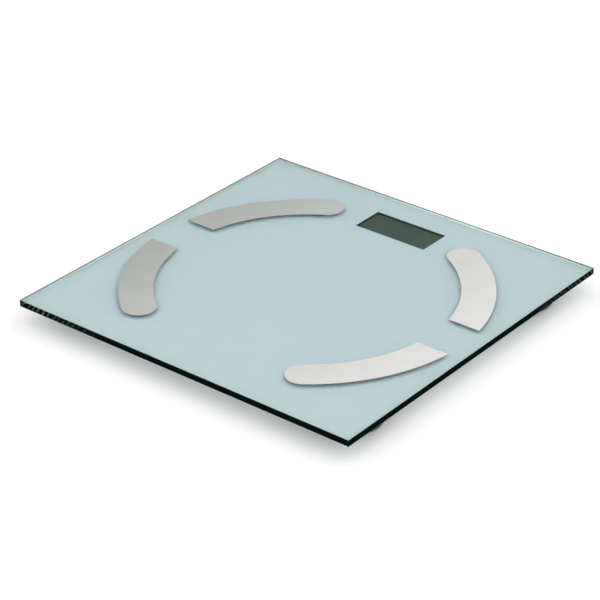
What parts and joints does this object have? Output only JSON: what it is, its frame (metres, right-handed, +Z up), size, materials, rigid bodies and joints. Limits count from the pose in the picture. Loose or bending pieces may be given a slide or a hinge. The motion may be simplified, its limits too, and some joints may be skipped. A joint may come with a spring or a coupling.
{
  "type": "digital bathroom scale",
  "caption": "Square glass bathroom scale on weighing feet, with curved steel electrodes on top and a display and battery module under the back edge.",
  "frame": {"origin": "on the floor, under the middle of the square platform", "axes": "+Z up, +Y towards the edge with the display, +X to the right for a person who stands on the scale and faces the display"},
  "size_m": [0.3, 0.3, 0.0206],
  "materials": {
    "platform_glass": "clear tempered float glass, polished, with dark green edges",
    "back_ink": "pale aqua ink printed on the back of the glass",
    "electrode_steel": "fine matt stainless sheet",
    "adhesive_film": "thin white adhesive film",
    "plated_steel": "zinc-plated steel",
    "nylon": "natural moulded nylon",
    "tinned_brass": "tinned brass, dull",
    "foam_tape": "white closed-cell foam tape",
    "silicone": "white silicone sealant",
    "foot_plastic": "fine-textured charcoal ABS",
    "foot_rubber": "black rubber, matt",
    "cell_steel": "stamped alloy steel, nickel-plated",
    "lead_insulation": "soft PVC insulation: red, black and white cores",
    "module_plastic": "fine-textured charcoal ABS",
    "display_glass": "liquid crystal glass with a grey-green polariser",
    "reflector_film": "matt metallised reflector film",
    "conductive_rubber": "layered conductive silicone strip",
    "board_laminate": "green solder mask on glass-fibre laminate",
    "black_resin": "glossy black resin",
    "component_bodies": "ceramic, metal-canned and moulded electronic parts",
    "button_plastic": "grey moulded plastic",
    "battery_sleeve": "shrunk plastic sleeve on a steel can",
    "spring_steel": "nickel-plated spring steel"
  },
  "bodies": {
    "platform": {"electrode_front_left": "electrode_steel", "electrode_front_right": "electrode_steel", "electrode_back_left": "electrode_steel", "electrode_back_right": "electrode_steel", "electrode_lead_front_left": "lead_insulation", "electrode_lead_front_right": "lead_insulation", "electrode_lead_back_left": "lead_insulation", "electrode_lead_back_right": "lead_insulation", "foot_housing_front_left": "foot_plastic", "foot_housing_front_right": "foot_plastic", "foot_housing_back_left": "foot_plastic", "foot_housing_back_right": "foot_plastic", "load_cell_front_left": "cell_steel", "load_cell_front_right": "cell_steel", "load_cell_back_left": "cell_steel", "load_cell_back_right": "cell_steel", "cell_lead_front_left": "lead_insulation", "cell_lead_front_right": "lead_insulation", "cell_lead_back_left": "lead_insulation", "cell_lead_back_right": "lead_insulation", "glass_platform": "platform_glass", "back_print": "back_ink", "electrode_films": "adhesive_film", "contact_studs": "plated_steel", "stud_bushes": "nylon", "ring_terminals": "tinned_brass", "stud_nuts": "plated_steel", "foot_tapes": "foam_tape", "gauge_sealant": "silicone", "lead_clips": "nylon", "module_tape": "foam_tape", "module_housing": "module_plastic", "base_cover": "module_plastic", "cover_screws": "plated_steel", "lcd_front_glass": "display_glass", "lcd_rear_glass": "display_glass", "lcd_reflector": "reflector_film", "lcd_frame": "nylon", "zebra_strips": "conductive_rubber", "circuit_board": "board_laminate", "board_screws": "plated_steel", "chip_seal": "black_resin", "board_components": "component_bodies", "tact_switch": "module_plastic", "battery_cells": "battery_sleeve", "battery_springs": "spring_steel", "contact_plates": "spring_steel", "battery_leads": "lead_insulation"},
    "front_left_foot": {"foot_cap_front_left": "foot_plastic", "foot_pad_front_left": "foot_rubber"},
    "front_right_foot": {"foot_cap_front_right": "foot_plastic", "foot_pad_front_right": "foot_rubber"},
    "back_left_foot": {"foot_cap_back_left": "foot_plastic", "foot_pad_back_left": "foot_rubber"},
    "back_right_foot": {"foot_cap_back_right": "foot_plastic", "foot_pad_back_right": "foot_rubber"},
    "unit_key": {"unit_button": "button_plastic", "switch_plunger": "nylon"},
    "battery_hatch": {"battery_door": "module_plastic"}
  },
  "joints": [
    {"name": "front_left_foot_press", "type": "slide", "parent": "platform", "child": "front_left_foot", "axis": [0, 0, 1], "range_m": [0, 0.0006], "stiffness_N_per_m": 1000000, "deforming": ["load_cell_front_left"]},
    {"name": "front_right_foot_press", "type": "slide", "parent": "platform", "child": "front_right_foot", "axis": [0, 0, 1], "range_m": [0, 0.0006], "stiffness_N_per_m": 1000000, "deforming": ["load_cell_front_right"]},
    {"name": "back_left_foot_press", "type": "slide", "parent": "platform", "child": "back_left_foot", "axis": [0, 0, 1], "range_m": [0, 0.0006], "stiffness_N_per_m": 1000000, "deforming": ["load_cell_back_left"]},
    {"name": "back_right_foot_press", "type": "slide", "parent": "platform", "child": "back_right_foot", "axis": [0, 0, 1], "range_m": [0, 0.0006], "stiffness_N_per_m": 1000000, "deforming": ["load_cell_back_right"]},
    {"name": "unit_button_press", "type": "slide", "parent": "platform", "child": "unit_key", "axis": [0, 0, 1], "range_m": [0, 0.0004], "stiffness_N_per_m": 4000},
    {"name": "battery_door_slide", "type": "slide", "parent": "platform", "child": "battery_hatch", "axis": [0, -1, 0], "range_m": [0, 0.028]}
  ]
}
